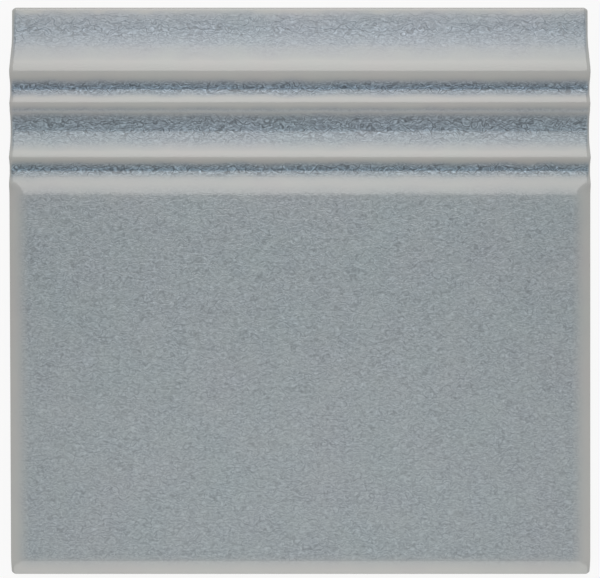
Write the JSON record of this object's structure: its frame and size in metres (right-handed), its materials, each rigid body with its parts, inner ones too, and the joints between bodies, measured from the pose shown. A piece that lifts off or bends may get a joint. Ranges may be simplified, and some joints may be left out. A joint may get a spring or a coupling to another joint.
{
  "type": "skirting tile",
  "caption": "Glazed ceramic skirting tile: a plain raised field with eased edges below a moulded top of grooves, beads, a hollow and a cove.",
  "frame": {"origin": "centre of the tile's outline, on its back, which lies on the floor", "axes": "+X along the wall, +Y towards the moulded top edge, +Z out of the glazed face"},
  "size_m": [0.148, 0.145, 0.014],
  "materials": {
    "crackle_glaze": "gloss"
  },
  "bodies": {
    "root": {"skirting_tile": "crackle_glaze"}
  },
  "joints": []
}
